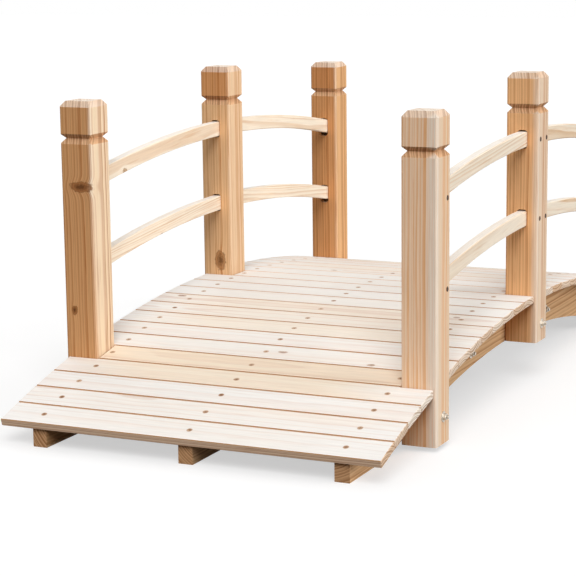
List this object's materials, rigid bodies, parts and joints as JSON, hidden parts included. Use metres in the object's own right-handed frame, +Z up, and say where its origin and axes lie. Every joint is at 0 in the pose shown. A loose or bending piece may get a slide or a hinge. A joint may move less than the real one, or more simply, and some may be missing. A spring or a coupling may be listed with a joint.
{
  "type": "moon bridge",
  "caption": "Small arched garden footbridge with a plank deck on curved stringers, square posts with grooved heads and curved rails along both sides.",
  "frame": {"origin": "middle of the bridge on the floor it stands on", "axes": "+Z up, +Y along the crossing from the near end to the far end, +X to the right seen from the near end"},
  "size_m": [0.6952, 1.5246, 0.564],
  "materials": {
    "deck_wood": "planed, unpainted, very pale softwood",
    "frame_wood": "planed, unpainted softwood",
    "post_wood": "planed, unpainted softwood",
    "rail_wood": "planed, unpainted softwood",
    "zinc_steel": "zinc plated, dull"
  },
  "bodies": {
    "root": {"bolts": "zinc_steel", "plank_01": "deck_wood", "plank_02": "deck_wood", "plank_03": "deck_wood", "plank_04": "deck_wood", "plank_05": "deck_wood", "plank_06": "deck_wood", "plank_07": "deck_wood", "plank_08": "deck_wood", "plank_09": "deck_wood", "plank_10": "deck_wood", "plank_11": "deck_wood", "plank_12": "deck_wood", "plank_13": "deck_wood", "plank_14": "deck_wood", "plank_15": "deck_wood", "plank_16": "deck_wood", "plank_17": "deck_wood", "plank_18": "deck_wood", "plank_19": "deck_wood", "plank_20": "deck_wood", "plank_21": "deck_wood", "plank_22": "deck_wood", "plank_23": "deck_wood", "plank_24": "deck_wood", "plank_25": "deck_wood", "plank_26": "deck_wood", "plank_27": "deck_wood", "post_left_far": "post_wood", "post_left_middle": "post_wood", "post_left_near": "post_wood", "post_right_far": "post_wood", "post_right_middle": "post_wood", "post_right_near": "post_wood", "rail_lower_left_far": "rail_wood", "rail_lower_left_near": "rail_wood", "rail_lower_right_far": "rail_wood", "rail_lower_right_near": "rail_wood", "rail_upper_left_far": "rail_wood", "rail_upper_left_near": "rail_wood", "rail_upper_right_far": "rail_wood", "rail_upper_right_near": "rail_wood", "stringer_left": "frame_wood", "stringer_middle": "frame_wood", "stringer_right": "frame_wood"}
  },
  "joints": []
}
